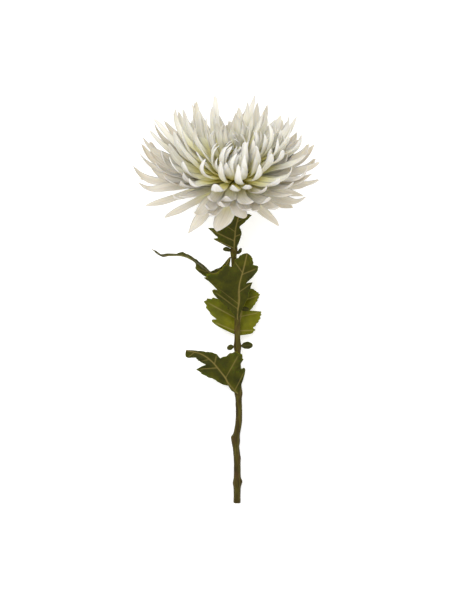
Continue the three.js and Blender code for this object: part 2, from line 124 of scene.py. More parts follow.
low, high = (np.array(corner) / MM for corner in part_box("stem"))
BLOOM = np.array([(low[0] + high[0]) / 2, high[1] - DOME_RADIUS, high[2] - DOME_RADIUS])
AXIS = np.array([0, math.cos(BLOOM_TILT), math.sin(BLOOM_TILT)])
ACROSS = np.array([1.0, 0, 0])
DOWN = np.cross(AXIS, ACROSS)
print("bloom centre, mm:", BLOOM.round(1))

# %% [markdown]
# ## Skins: how every living piece is meshed
#
# A petal, a leaf and a stem are all long shapes with a changing section.  One
# way to make them is a row of closed rings joined by a skin of four-sided
# faces, like the hoops and fabric of a lantern.  It gives clean faces that
# shade smoothly, and each corner can carry notes (how far along the petal it
# is, how near an edge) that the materials read later.

# %% Make meshes from rings
class Skin:
    """Collects ringed bodies, with four notes for each corner."""

    def __init__(self):
        self.corners, self.notes, self.faces, self.count = [], [], [], 0

    def add(self, rings, notes):
        rows, sides, _ = rings.shape
        index = self.count + np.arange(rows * sides).reshape(rows, sides)
        ahead = np.roll(index, -1, axis=1)
        quads = np.stack([index[:-1], ahead[:-1], ahead[1:], index[1:]], -1)
        self.faces += quads.reshape(-1, 4).tolist()
        self.faces += [index[0][::-1].tolist(), index[-1].tolist()]
        self.corners.append(rings.reshape(-1, 3))
        self.notes.append(notes.reshape(-1, 4))
        self.count += rows * sides

    def to_object(self, name, material):
        mesh = bpy.data.meshes.new(name)
        corners = np.concatenate(self.corners) * MM
        mesh.from_pydata(corners.tolist(), [], self.faces)
        mesh.shade_smooth()
        layer = mesh.attributes.new("notes", "FLOAT_COLOR", "POINT")
        layer.data.foreach_set("color", np.concatenate(self.notes).astype(np.float32).ravel())
        mesh.materials.append(material)
        piece = bpy.data.objects.new(name, mesh)
        bpy.context.scene.collection.objects.link(piece)
        return piece


def grid_normals(grid):
    return unit(np.cross(np.gradient(grid, axis=0), np.gradient(grid, axis=1)))


def blade_rings(middle, thickness):
    """Closed rings round a thin blade.

    middle is a grid of points (along, across), and thickness is the full
    thickness at each point, nothing at the two edges.  The side that
    grid_normals points to comes first in each ring."""
    half = (thickness / 2)[..., None] * grid_normals(middle)
    return np.concatenate([(middle + half)[:, ::-1], (middle - half)[:, 1:-1]], axis=1)


def blade_notes(grid):
    """Notes laid out in the same order as blade_rings."""
    return np.concatenate([grid[:, ::-1], grid[:, 1:-1]], axis=1)


strip = np.array([[(x, y, 0.0) for y in range(3)] for x in range(2)])
print("corners round a blade 3 points wide:", blade_rings(strip, np.ones((2, 3))).shape[1])

# %% [markdown]
# ## Materials start from the real surface
#
# Blender's colours are linear light, while the colours people read off a
# swatch are sRGB.  One function turns the second into the first.  Another
# adds a shader node, with its settings and links, so that each material
# below reads as a list of what it is made of.

# %% Helpers for materials
def linear(hex_colour):
    values = [int(hex_colour[i:i + 2], 16) / 255 for i in (1, 3, 5)]
    return [v / 12.92 if v <= 0.04045 else ((v + 0.055) / 1.055) ** 2.4 for v in values] + [1.0]


def add_node(tree, kind, settings=None, inputs=None):
    """One shader node: settings are its properties, inputs its sockets.

    An input that is another node's output becomes a link."""
    node = tree.nodes.new(kind)
    for key, value in (settings or {}).items():
        setattr(node, key, value)
    for key, value in (inputs or {}).items():
        if isinstance(value, bpy.types.NodeSocket):
            tree.links.new(value, node.inputs[key])
        else:
            node.inputs[key].default_value = value
    return node


def set_ramp(node, stops):
    ramp = node.color_ramp
    while len(ramp.elements) > 1:
        ramp.elements.remove(ramp.elements[-1])
    ramp.elements[0].position = stops[0][0]
    ramp.elements[0].color = linear(stops[0][1])
    for place, colour in stops[1:]:
        ramp.elements.new(place).color = linear(colour)


def new_material(name):
    material = bpy.data.materials.new(name)
    material.use_nodes = True
    tree = material.node_tree
    tree.nodes.clear()
    surface = tree.nodes.new("ShaderNodeBsdfPrincipled")
    output = tree.nodes.new("ShaderNodeOutputMaterial")
    tree.links.new(surface.outputs["BSDF"], output.inputs["Surface"])
    return material, tree, surface


print("a mid grey swatch in linear light:", round(linear("#808080")[0], 3))

# %% [markdown]
# ## Petal tissue
#
# A white petal has no white pigment.  It is a thin wet sponge of clear cells
# That is what subsurface scattering imitates, and it softens the shade inside
# the bloom.  Towards its base the petal is creamy and then yellow green,
# where it has had no sun.  In the heart the cream reaches further out, and the
# youngest petals, round the eye, are olive with straw-coloured tips; their
# colour is also painted much darker towards the base, as painted shade of the
# hollow they stand in.  The skin has fine ridges that run along the petal,
# about half a millimetre apart, which are drawn here by stretching a noise
# pattern lengthways.

# %% Petal materials
def petal_material(name, stops):
    material, tree, surface = new_material(name)
    notes = add_node(tree, "ShaderNodeAttribute", {"attribute_name": "notes"})
    parts = add_node(tree, "ShaderNodeSeparateColor", {}, {"Color": notes.outputs["Color"]})
    along, across, tone = (parts.outputs[k] for k in ("Red", "Green", "Blue"))
    # Cells of a patchy noise shift where the cream gives way to white.
    where = add_node(tree, "ShaderNodeTexCoord")
    patches = add_node(tree, "ShaderNodeTexNoise", {}, {
        "Vector": where.outputs["Object"], "Scale": 90.0, "Detail": 3.0})
    shift = add_node(tree, "ShaderNodeMath", {"operation": "MULTIPLY_ADD"}, {
        0: patches.outputs["Fac"], 1: 0.16, 2: along})
    place = add_node(tree, "ShaderNodeMath", {"operation": "MULTIPLY_ADD", "use_clamp": True}, {
        0: tone, 1: 0.10, 2: shift.outputs["Value"]})
    colour = add_node(tree, "ShaderNodeValToRGB", {}, {"Fac": place.outputs["Value"]})
    set_ramp(colour, stops)
    # Ridges: many across the petal, few along it.  Besides the bump, the colour is painted darker
    # in their grooves, as painted shade.
    spread = add_node(tree, "ShaderNodeCombineXYZ", {}, {"X": across, "Y": along, "Z": tone})
    stretched = add_node(tree, "ShaderNodeMapping", {}, {
        "Vector": spread.outputs["Vector"], "Scale": (9.0, 1.2, 40.0)})
    ridges = add_node(tree, "ShaderNodeTexNoise", {}, {
        "Vector": stretched.outputs["Vector"], "Scale": 1.6, "Detail": 2.5, "Roughness": 0.6})
    # Painted shade: the colour is multiplied darker where the ridges are low, in their grooves.
    lined_colour = add_node(tree, "ShaderNodeMix", {"data_type": "RGBA", "blend_type": "MULTIPLY"}, {
        "Factor": 0.35, "A": colour.outputs["Color"]})
    shade = add_node(tree, "ShaderNodeValToRGB", {}, {"Fac": ridges.outputs["Fac"]})
    set_ramp(shade, [(0.30, "#c9c4b4"), (0.62, "#ffffff")])
    tree.links.new(shade.outputs["Color"], lined_colour.inputs["B"])
    relief = add_node(tree, "ShaderNodeBump", {}, {
        "Height": ridges.outputs["Fac"], "Strength": 0.35, "Distance": 0.0006})
    tree.links.new(lined_colour.outputs["Result"], surface.inputs["Base Color"])
    tree.links.new(relief.outputs["Normal"], surface.inputs["Normal"])
    surface.inputs["Roughness"].default_value = 0.5
    surface.inputs["IOR"].default_value = 1.42
    surface.inputs["Specular IOR Level"].default_value = 0.35
    surface.inputs["Subsurface Weight"].default_value = 0.35
    surface.inputs["Subsurface Radius"].default_value = (1.0, 0.8, 0.5)
    surface.inputs["Subsurface Scale"].default_value = 0.0014
    return material


# Each stop: share of the way along a petal, before the shift, and its colour.
PETAL_STOPS = [
    (0.05, "#ccc158"), (0.24, "#e9e29c"), (0.44, "#ece8cc"), (0.66, "#dfdbd3"), (1.0, "#d4cfc7")]
HEART_STOPS = [
    (0.05, "#b8ab38"), (0.26, "#eae07c"), (0.5, "#f3edb8"), (0.7, "#eeebdb"), (1.0, "#e6e3dc")]
# The eye's stops are olive, painted much darker towards the petal bases: partly their real colour,
# partly painted shade of the hollow.
EYE_STOPS_WITH_PAINTED_SHADE = [(0.1, "#4c450c"), (0.45, "#7d731a"), (0.75, "#b1a646"), (1.0, "#d6ce96")]
ray_petal = petal_material("petal_tissue_white", PETAL_STOPS)
heart_petal = petal_material("petal_tissue_cream", HEART_STOPS)
eye_petal = petal_material("petal_tissue_olive_painted_shade", EYE_STOPS_WITH_PAINTED_SHADE)
print("materials:", [m.name for m in bpy.data.materials])

# %% [markdown]
# ## One petal
#
# Each petal starts on the dome at a polar angle (0 is straight ahead, 90 is
# sideways) and an azimuth (its place round the dome).  Its middle line leaves
# the dome at a right angle and then bends inwards: gently at first, more
# towards the tip, and some petals end in a claw.  Its section is a gutter,
# deep at the base and shallow further out, and it is narrow at the base and
# widest a little past the middle.
#
# Each could be sculpted, or one petal could be copied with random scales, but
# then all would look like stamped parts.  A rule with a few numbers for each
# petal gives each one its own shape, and a change to it reaches them all.
#
# The lowest petals come down to the table.  Real ones flatten out on it, so
# heights under 4 mm are squeezed towards it instead of passing through.

# %% Grow the surface of one petal
PETAL_THICKNESS = 0.5
PRESS_HEIGHT = 4.0
TABLE_GAP = 0.4


def press(height):
    depth = PRESS_HEIGHT - TABLE_GAP
    flat = TABLE_GAP + depth * (1 - np.tanh((PRESS_HEIGHT - height) / depth))
    return np.where(height < PRESS_HEIGHT, flat, height)


def petal_surface(petal, rows, columns):
    """Grid of points (rows, columns, 3) on the middle of a petal, in mm."""
    u = np.linspace(0, 1, rows)

    def heading(x):
        polar = (petal["polar"] + petal.get("lean", 0) - petal["curl"] * x**1.6
                 - petal["hook"] * ease(x, 0.68, 1))
        azimuth = petal["azimuth"] + petal["sway"] * x**1.5
        loose = petal.get("loose", 0) * ease(x, 0, 0.4)
        polar = polar + loose * np.sin(5.0 * x + 7 * petal["wave"])
        azimuth = azimuth + 1.3 * loose * np.sin(5.5 * x + 11 * petal["tone"])
        return np.radians(polar), np.radians(azimuth)

    def direction(x):
        polar, azimuth = heading(x)
        return np.stack([np.sin(polar) * np.cos(azimuth),
                         np.sin(polar) * np.sin(azimuth), np.cos(polar)], -1)

    polar, azimuth = math.radians(petal["polar"]), math.radians(petal["azimuth"])
    foot = petal["start"] * np.array([math.sin(polar) * math.cos(azimuth),
                                      math.sin(polar) * math.sin(azimuth), math.cos(polar)])
    steps = direction((u[1:] + u[:-1]) / 2) * petal["length"] / (rows - 1)
    middle = foot + np.vstack([np.zeros(3), np.cumsum(steps, axis=0)])

    polar, azimuth = heading(u)
    side = np.stack([-np.sin(azimuth), np.cos(azimuth), 0 * azimuth], -1)
    inward = np.stack([-np.cos(polar) * np.cos(azimuth),
                       -np.cos(polar) * np.sin(azimuth), np.sin(polar)], -1)
    twist = (np.radians(petal["twist"]) * u**1.2)[:, None]
    across = side * np.cos(twist) + inward * np.sin(twist)
    face = inward * np.cos(twist) - side * np.sin(twist)

    taper = np.clip((u - 0.6) / 0.4, 0, 1)
    half = mix(petal["base"], petal["width"], ease(u, -0.1, 0.5)) / 2
    half = np.maximum(half * (1 - taper**2) ** petal["point"], 0.12)
    gutter = mix(petal["gutter"], petal["channel"], ease(u, 0, 0.45))
    arc = np.radians(gutter + petal["spoon"] * ease(u, 0.7, 1))[:, None]
    v = np.linspace(-1, 1, columns)[None, :]
    half = half[:, None]
    wave = petal["wave"]
    ripple = np.sin(2 * math.pi * (2.3 * u[:, None] + wave)) * v**2 * np.sign(v + 1e-9)
    fade = np.sin(math.pi * np.minimum(u * 1.1, 1))[:, None]
    crease = np.cos(3 * math.pi * v) * (1 - v**2) * fade
    right = half * np.sin(arc * v) / arc
    rise = half * (1 - np.cos(arc * v)) / arc + 0.07 * half * ripple + 0.045 * half * crease
    local = middle[:, None] + across[:, None] * right[..., None] + face[:, None] * rise[..., None]
    world = BLOOM + local[..., :1] * ACROSS + local[..., 1:2] * DOWN + local[..., 2:] * AXIS
    world[..., 2] = press(world[..., 2])
    return world, u, v


def add_petal(skin, petal, rows=28, columns=9):
    surface, u, v = petal_surface(petal, rows, columns)
    full = petal.get("thickness", PETAL_THICKNESS) * (1 - 0.45 * u[:, None])
    thickness = full * np.sqrt(np.maximum(1 - v**2, 0)) + 0 * v
    notes = np.zeros((rows, columns, 4))
    notes[..., 0] = u[:, None]
    notes[..., 1] = (v + 1) / 2
    notes[..., 2] = petal["tone"]
    notes[..., 3] = 1
    skin.add(blade_rings(surface, thickness), blade_notes(notes))


print("a petal that would touch the table is lifted to, mm:", round(float(press(0.0)), 2))

# %% [markdown]
# ## The rule for the whole bloom
#
# The bloom has twelve whorls.  Whorl 0 is the skirt, the oldest petals, which
# droop behind the head: each of those is listed one by one because they
# make the outline under the bloom.  The other whorls step from the side of
# the dome (94 degrees) to its middle (8 degrees), with fewer and shorter
# petals towards the middle.  Most are shorter on the side towards the stem.
# The outer ones there are also wider, open out and hook at the tip, and the
# middle ones bend up into a hood over the heart.  The innermost stay short and
# swirl round a deep olive hollow, the eye.  Petals at the left are longer, and
# at the top shorter ones leave a gap that divides the bloom into two lobes.

# %% Petals of each whorl
PETAL_LENGTH, HEART_LENGTH = 68.0, 30.0
PETAL_WIDTH, HEART_WIDTH = 10.2, 7.0
PETAL_BASE, HEART_BASE = 2.4, 1.76
PETAL_CHANNEL, HEART_CHANNEL = 1.63, 0.94
WHORLS = 12
FULLEST_WHORL = 19
OUTER_POLAR, HEART_POLAR = 94.0, 8.0
SPLAY_WIDENING, WIDTH_WANDER = 1.27, 1.2    # mm
LOBE_GAP, LOBE_GAP_WIDTH = 101, 13          # degrees round the bloom
CLAW_HOOK = 24                              # degrees, on about a quarter of the petals
FIRST_CREAM_WHORL, FIRST_OLIVE_WHORL = 4, 10
ON_DOME = {"start": DOME_RADIUS + 0.1, "gutter": 70.0}

# Azimuth, polar angle, share of the full length, curl, share of the width.
SKIRT = [
    (-52, 109, 0.64, 8, 0.9),
    (-27, 105, 0.60, -4, 1.1),
    (-11, 103, 0.65, 2, 0.9),
    (5, 103, 0.72, 8, 0.85),
    (24, 104, 0.76, 10, 0.9),
    (45, 104, 0.78, 10, 0.9),
    (66, 104, 0.78, 10, 0.9),
    (88, 104, 0.72, 10, 0.9),
    (110, 104, 0.76, 10, 0.9),
    (132, 104, 0.82, 10, 0.9),
    (155, 104, 0.90, 10, 0.9),
    (175, 103, 0.98, 14, 0.8),
    (193, 104, 0.92, 10, 0.8),
    (211, 105, 0.80, 6, 0.9),
    (233, 109, 0.76, 2, 1.0),
    (256, 110, 0.60, 4, 1.45),
]


def around(azimuth, centre, spread):
    return math.exp(-(wrap_degrees(azimuth - centre) / spread) ** 2)


def channel_angle(width, depth):
    """Bend of a petal's section, middle to edge, that lifts its edges by depth."""
    return math.degrees(2 * depth / (width / 2))


def skirt_petals():
    petals = []
    for item, (azimuth, polar, share, curl, wide) in enumerate(SKIRT):
        depth = 0.8 * PETAL_CHANNEL * (1 + 0.27 * wander(0, item, 5))
        petals.append(dict(
            ON_DOME, polar=polar, azimuth=azimuth, length=share * PETAL_LENGTH, curl=curl,
            hook=10 * (1 + wander(0, item, 1)), sway=4 * wander(0, item, 2),
            twist=14 * wander(0, item, 3), width=wide * PETAL_WIDTH, base=PETAL_BASE,
            point=0.75 + 0.3 * wander(0, item, 4), channel=channel_angle(wide * PETAL_WIDTH, depth),
            spoon=16.0, loose=6.0, wave=wander(0, item, 11), tone=0.5 + 0.5 * wander(0, item, 12)))
    return petals


def whorl_petals(whorl):
    inside = (whorl - 1) / (WHORLS - 2)
    polar = mix(OUTER_POLAR, HEART_POLAR, inside)
    count = round(FULLEST_WHORL * math.sin(math.radians(polar)))
    opened = min(1, 3 * (1 - inside))
    splayed = float(1 - ease(inside, 0.25, 0.45))
    hooded = float(ease(inside, 0.3, 0.5) * (1 - ease(inside, 0.8, 1)))
    eye = float(ease(inside, 0.72, 1))
    petals = []
    for item in range(count):
        azimuth = 360 * (item + 0.5 * (whorl % 2)) / count + 17 * whorl
        sideways, low = math.cos(math.radians(azimuth)), math.sin(math.radians(azimuth))
        near, far = max(0, -low), max(0, low)
        claw = CLAW_HOOK if wander(whorl, item, 8) > 0.45 else 0
        # Shorter towards the stem, at the far side, round the eye and at the gap
        # between the lobes; longer at the left than at the right.
        length = (mix(PETAL_LENGTH, HEART_LENGTH, inside**2.2)
                  * (1 + (0.1 + 0.08 * hooded) * wander(whorl, item, 6))
                  * (1 - 0.34 * near * splayed - 0.36 * near * hooded
                     - 0.15 * opened * far - 0.55 * eye)
                  * (1 - 0.32 * opened * around(azimuth, LOBE_GAP, LOBE_GAP_WIDTH))
                  * (1 + 0.09 * opened * max(0, -sideways) - 0.07 * opened * max(0, sideways)))
        width = (mix(PETAL_WIDTH, HEART_WIDTH, inside) * (1 - 0.28 * hooded - 0.25 * eye)
                 + SPLAY_WIDENING * near * splayed + WIDTH_WANDER * wander(whorl, item, 10))
        depth = mix(PETAL_CHANNEL, HEART_CHANNEL, inside) * (1 + 0.35 * wander(whorl, item, 5))
        petals.append(dict(
            ON_DOME, polar=polar + 0.8 * wander(whorl, item, 7),
            azimuth=azimuth + 0.8 * wander(whorl, item, 9), length=length,
            curl=(10 + 0.36 * polar + 10 * math.sin(math.pi * inside)
                  + (8 + 8 * hooded) * wander(whorl, item, 0)
                  - 20 * near * splayed + 52 * near * hooded - 7 * opened * sideways * sideways),
            hook=((18 + 14 * wander(whorl, item, 1) + claw + 16 * near * splayed)
                  * (1 - 0.4 * inside)),
            sway=12 * wander(whorl, item, 2) - max(34 * inside**2, 52 * hooded),
            twist=24 * wander(whorl, item, 3) - 30 * inside**2,
            width=width, base=mix(PETAL_BASE, HEART_BASE, inside),
            point=0.72 + 0.34 * wander(whorl, item, 4), channel=channel_angle(width, depth),
            spoon=26 + 22 * wander(whorl, item, 13), loose=8.0, wave=wander(whorl, item, 11),
            tone=0.5 + 0.5 * wander(whorl, item, 12)))
    return petals


def younger_petals(whorl):
    """Shorter petals that fill the gaps on the inner side of a whorl.

    Whorls 2 to 4 have none on the third of the bloom that faces the stem."""
    grown_up = whorl_petals(whorl)
    half_step = 0.5 * (OUTER_POLAR - HEART_POLAR) / (WHORLS - 2)
    return [dict(petal, polar=petal["polar"] - half_step,
                 azimuth=petal["azimuth"] + 180 / len(grown_up) + 5 * wander(whorl, item, 31),
                 length=petal["length"] * (0.76 + 0.12 * wander(whorl, item, 32)),
                 curl=petal["curl"] + 5 + 9 * wander(whorl, item, 33),
                 twist=30 * wander(whorl, item, 34), wave=wander(whorl, item, 35),
                 sway=petal["sway"] + 8 * wander(whorl, item, 37),
                 tone=0.5 + 0.5 * wander(whorl, item, 36))
            for item, petal in enumerate(grown_up)
            if whorl > 4 or math.sin(math.radians(petal["azimuth"])) > -0.5]


print("full-grown petals in whorls 1 to 11:", [len(whorl_petals(w)) for w in range(1, WHORLS)])

# %% Make the bloom
def place(piece, slot, *nodes):
    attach(piece, "root")
    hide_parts(*nodes)
    return piece


grown = 0
for kind, petals in (("skirt", skirt_petals()), ("outer", whorl_petals(1))):
    for item, petal in enumerate(petals):
        skin = Skin()
        add_petal(skin, petal)
        name = f"{kind}_petal_{item + 1:02d}"
        place(skin.to_object(f"{name}_fine", ray_petal), "petal_white", name)
        grown += 1
for whorl in range(2, WHORLS):
    skin = Skin()
    for petal in whorl_petals(whorl) + younger_petals(whorl):
        add_petal(skin, petal)
        grown += 1
    tissue = (eye_petal if whorl >= FIRST_OLIVE_WHORL
              else heart_petal if whorl >= FIRST_CREAM_WHORL else ray_petal)
    slot = "petal_heart" if whorl > WHORLS / 2 else "petal_white"
    name = f"petal_whorl_{whorl:02d}"
    place(skin.to_object(f"{name}_fine", tissue), slot, name)
print("petals grown:", grown)

# %% [markdown]
# ## Stem tissue
#
# A cut chrysanthemum's stem is half woody: green skin over fibre, with brown
# corky streaks where it has been rubbed and where leaves once were.  The
# streaks run along the stem, 1 to 2 mm wide and many times as long, so their
# noise is stretched along it.  The cut end shows a pale soft pith in a ring
# of wood.

# %% Stem material
def stem_material():
    material, tree, surface = new_material("half_woody_stem")
    notes = add_node(tree, "ShaderNodeAttribute", {"attribute_name": "notes"})
    parts = add_node(tree, "ShaderNodeSeparateColor", {}, {"Color": notes.outputs["Color"]})
    along, cut, dome = (parts.outputs[k] for k in ("Red", "Green", "Blue"))
    where = add_node(tree, "ShaderNodeTexCoord")
    stretched = add_node(tree, "ShaderNodeMapping", {}, {
        "Vector": where.outputs["Object"], "Scale": (1.0, 0.10, 1.0)})
    streaks = add_node(tree, "ShaderNodeTexNoise", {}, {
        "Vector": stretched.outputs["Vector"], "Scale": 620.0, "Detail": 4.0, "Roughness": 0.65})
    skin = add_node(tree, "ShaderNodeValToRGB", {}, {"Fac": streaks.outputs["Fac"]})
    set_ramp(skin, [(0.30, "#35260c"), (0.43, "#463a12"), (0.55, "#565016"), (0.75, "#6f652e")])
    fresh = add_node(tree, "ShaderNodeValToRGB", {}, {"Fac": along})
    set_ramp(fresh, [(0.0, "#8d8266"), (0.45, "#b8b184"), (0.7, "#c6c38c"), (1.0, "#d7dca2")])
    green = add_node(tree, "ShaderNodeMix", {"data_type": "RGBA", "blend_type": "MULTIPLY"}, {
        "Factor": 0.55, "A": skin.outputs["Color"], "B": fresh.outputs["Color"]})
    blotches = add_node(tree, "ShaderNodeTexNoise", {}, {
        "Vector": where.outputs["Object"], "Scale": 110.0, "Detail": 3.0})
    corky = add_node(tree, "ShaderNodeValToRGB", {}, {"Fac": blotches.outputs["Fac"]})
    set_ramp(corky, [(0.52, "#000000"), (0.66, "#b0b0b0")])
    barked = add_node(tree, "ShaderNodeMix", {"data_type": "RGBA"}, {
        "Factor": corky.outputs["Color"], "A": green.outputs["Result"], "B": linear("#4d3616")})
    pith = add_node(tree, "ShaderNodeValToRGB", {}, {"Fac": cut})
    set_ramp(pith, [(0.0, "#4c4012"), (0.35, "#6d5c28"), (0.5, "#b9ab76"), (1.0, "#d3c99c")])
    is_cut = add_node(tree, "ShaderNodeMath", {"operation": "GREATER_THAN"}, {0: cut, 1: 0.01})
    ended = add_node(tree, "ShaderNodeMix", {"data_type": "RGBA"}, {
        "Factor": is_cut.outputs["Value"], "A": barked.outputs["Result"],
        "B": pith.outputs["Color"]})
    domed = add_node(tree, "ShaderNodeMix", {"data_type": "RGBA"}, {
        "Factor": dome, "A": ended.outputs["Result"], "B": linear("#6a6414")})
    relief = add_node(tree, "ShaderNodeBump", {}, {
        "Height": streaks.outputs["Fac"], "Strength": 0.6, "Distance": 0.0006})
    tree.links.new(domed.outputs["Result"], surface.inputs["Base Color"])
    tree.links.new(relief.outputs["Normal"], surface.inputs["Normal"])
    surface.inputs["Roughness"].default_value = 0.62
    surface.inputs["IOR"].default_value = 1.45
    surface.inputs["Specular IOR Level"].default_value = 0.15
    return material


stem_skin = stem_material()
print("material:", stem_skin.name)

# %% [markdown]
# ## The stem
#
# The stem runs along a soft curve through a few points.  It has shallow ribs,
# it swells where leaves join it, and it carries small dormant buds.  A curve
# with a bevel would make a plain pipe; rings made here can have ribs, buds
# and the swelling in one skin, and can open into the dome of the bloom, which
# grew with the stem.

# %% Stem sizes and course
STEM_REACH = 257.0
BLOOM_HEIGHT = 49.0
STEM_RADIUS, NECK_RADIUS = 2.7, 2.1
JOINTS = [0.065, 0.195, 0.345, 0.49, 0.605, 0.785]
JOINT_SWELLING, JOINT_LENGTH = 0.8, 3.0
STEM_COURSE = [
    (1.9, 0, 0.05), (2.0, 0.13, 0.08), (0.9, 0.195, 0.10), (3.3, 0.26, 0.13),
    (3.0, 0.345, 0.18), (2.2, 0.49, 0.285), (1.8, 0.605, 0.385), (-0.6, 0.75, 0.535),
    (-0.4, 0.80, 0.60), (2.0, 0.865, 0.70), (1.8, 0.925, 0.80)]

CUT_END = BLOOM - np.array([0, STEM_REACH, BLOOM_HEIGHT])
course = [CUT_END + np.array([x, y * STEM_REACH, z * BLOOM_HEIGHT]) for x, y, z in STEM_COURSE]
course.append(BLOOM - AXIS * DOME_RADIUS)
walk = np.linspace(0, 1, 4001)
stem_line = smooth_curve(course, walk)
stem_share = (stem_line[:, 1] - CUT_END[1]) / STEM_REACH


def stem_at(share):
    """Centre and direction of the stem a share of the way to the bloom."""
    t = np.interp(share, stem_share, walk)
    ahead, behind = smooth_curve(course, t + 1e-3), smooth_curve(course, t - 1e-3)
    return smooth_curve(course, t), unit(ahead - behind)


def stem_radius(share):
    radius = mix(STEM_RADIUS, NECK_RADIUS, share)
    for joint in JOINTS:
        away = (share - joint) * STEM_REACH / JOINT_LENGTH
        radius = radius + JOINT_SWELLING * np.exp(-away ** 2)
    return radius


print("stem length, mm:", round(float(np.linalg.norm(np.diff(stem_line, axis=0), axis=1).sum()), 1))

# %% Make the stem with its dome
SIDES = 36
# Dormant buds: share along the stem, degrees round it, height in mm.
BUDS = [(0.065, -10, 0.9), (0.135, 20, 0.6), (0.2, 185, 1.1),
        (0.35, 60, 0.7), (0.5, 90, 0.7), (0.61, 70, 0.8)]


def build_stem():
    share = np.linspace(0.002, 0.935, 300)
    centre, direction = stem_at(share)
    radius = stem_radius(share)
    ahead = np.linspace(-0.985, 0.995, 34)
    dome_radius = DOME_RADIUS * np.sqrt(1 - ahead**2)
    dome_radius = np.maximum(dome_radius, np.where(ahead < 0, NECK_RADIUS * 1.1, 0.3))
    centre = np.vstack([centre, BLOOM + AXIS * (ahead * DOME_RADIUS * 0.985)[:, None]])
    direction = np.vstack([direction, np.repeat(AXIS[None], len(ahead), 0)])
    radius = np.concatenate([radius, dome_radius * 0.985])
    on_dome = np.concatenate([np.zeros(len(share)), np.ones(len(ahead))])
    all_share = np.concatenate([share, np.ones(len(ahead))])
    turn = np.linspace(0, 2 * math.pi, SIDES, endpoint=False)[None]
    rib = 0.13 * np.cos(6 * turn + 5 * all_share[:, None]) * (1 - on_dome)[:, None]
    rough = (0.06 * np.sin(all_share[:, None] * 190 + 3 * turn)
             * np.sin(all_share[:, None] * 67 + turn))
    reach = radius[:, None] + rib + rough * (1 - on_dome)[:, None]
    for place_along, degrees, height in BUDS:
        near = np.exp(-((all_share - place_along - 0.006) * STEM_REACH / 1.9) ** 2)[:, None]
        away = wrap_degrees(np.degrees(turn) - degrees)
        reach = reach + height * near * np.exp(-(away / 34) ** 2)
    # Small knobs of unopened florets roughen the dome.
    knobs = (0.14 * np.sin(9 * turn)
             * np.sin(all_share[:, None] + np.arange(len(reach))[:, None] * 1.3))
    reach = reach + knobs * on_dome[:, None]
    side = unit(ACROSS - direction * direction[:, :1])
    other = np.cross(direction, side)
    rings = (centre[:, None] + side[:, None] * (reach * np.cos(turn))[..., None]
             + other[:, None] * (reach * np.sin(turn))[..., None])
    notes = np.zeros(rings.shape[:2] + (4,))
    notes[..., 0] = all_share[:, None]
    notes[..., 2] = on_dome[:, None]
    notes[..., 3] = 1
    # The cut end is a slightly hollow disc of pith, in rings of its own.
    inset = np.array([0.05, 0.3, 0.55, 0.8, 0.97])
    sunk = np.array([0.45, 0.4, 0.3, 0.1, 0.0])
    disc = (centre[0] + (rings[0] - centre[0])[None] * inset[:, None, None]
            + direction[0] * sunk[:, None, None])
    disc_notes = np.zeros(disc.shape[:2] + (4,))
    disc_notes[..., 1] = (1.02 - inset)[:, None]
    disc_notes[..., 3] = 1
    skin = Skin()
    skin.add(np.concatenate([disc, rings]), np.concatenate([disc_notes, notes]))
    return skin.to_object("stem_fine", stem_skin)


stem = place(build_stem(), "stem_olive", "stem")
print("stem corners:", len(stem.data.vertices))

# %% [markdown]
# ## Leaf tissue
#
# The upper side of a chrysanthemum leaf is a dull dark green.  The underside
# is paler and felted with fine hairs.  The veins are sunk on top, raised
# below, and tan where light catches them.  The notes on each corner say how
# near it is to a vein and which side it is on, so the colour follows the
# real network of veins and not a pattern laid over the leaf.

# %% Leaf material
def leaf_material(name, upper, under, vein_colour):
    material, tree, surface = new_material(name)
    notes = add_node(tree, "ShaderNodeAttribute", {"attribute_name": "notes"})
    parts = add_node(tree, "ShaderNodeSeparateColor", {}, {"Color": notes.outputs["Color"]})
    vein, below, edge = (parts.outputs[k] for k in ("Red", "Green", "Blue"))
    where = add_node(tree, "ShaderNodeTexCoord")
    patches = add_node(tree, "ShaderNodeTexNoise", {}, {
        "Vector": where.outputs["Object"], "Scale": 70.0, "Detail": 4.0, "Roughness": 0.6})
    top = add_node(tree, "ShaderNodeValToRGB", {}, {"Fac": patches.outputs["Fac"]})
    set_ramp(top, upper)
    bottom = add_node(tree, "ShaderNodeValToRGB", {}, {"Fac": patches.outputs["Fac"]})
    set_ramp(bottom, under)
    sided = add_node(tree, "ShaderNodeMix", {"data_type": "RGBA"}, {
        "Factor": below, "A": top.outputs["Color"], "B": bottom.outputs["Color"]})
    edged = add_node(tree, "ShaderNodeMix", {"data_type": "RGBA"}, {
        "Factor": edge, "A": sided.outputs["Result"], "B": linear("#4a3c12")})
    lined_colour = add_node(tree, "ShaderNodeMix", {"data_type": "RGBA"}, {
        "Factor": vein, "A": edged.outputs["Result"], "B": linear(vein_colour)})
    # Cells of the leaf skin, about 1.4 mm, between the finest veins.
    cells = add_node(tree, "ShaderNodeTexVoronoi", {"feature": "DISTANCE_TO_EDGE"}, {
        "Vector": where.outputs["Object"], "Scale": 700.0})
    relief = add_node(tree, "ShaderNodeBump", {}, {
        "Height": cells.outputs["Distance"], "Strength": 0.35, "Distance": 0.0005})
    tree.links.new(lined_colour.outputs["Result"], surface.inputs["Base Color"])
    tree.links.new(relief.outputs["Normal"], surface.inputs["Normal"])
    surface.inputs["Roughness"].default_value = 0.55
    surface.inputs["IOR"].default_value = 1.42
    surface.inputs["Specular IOR Level"].default_value = 0.15
    surface.inputs["Subsurface Weight"].default_value = 0.08
    surface.inputs["Subsurface Radius"].default_value = (0.6, 1.0, 0.2)
    surface.inputs["Subsurface Scale"].default_value = 0.001
    return material


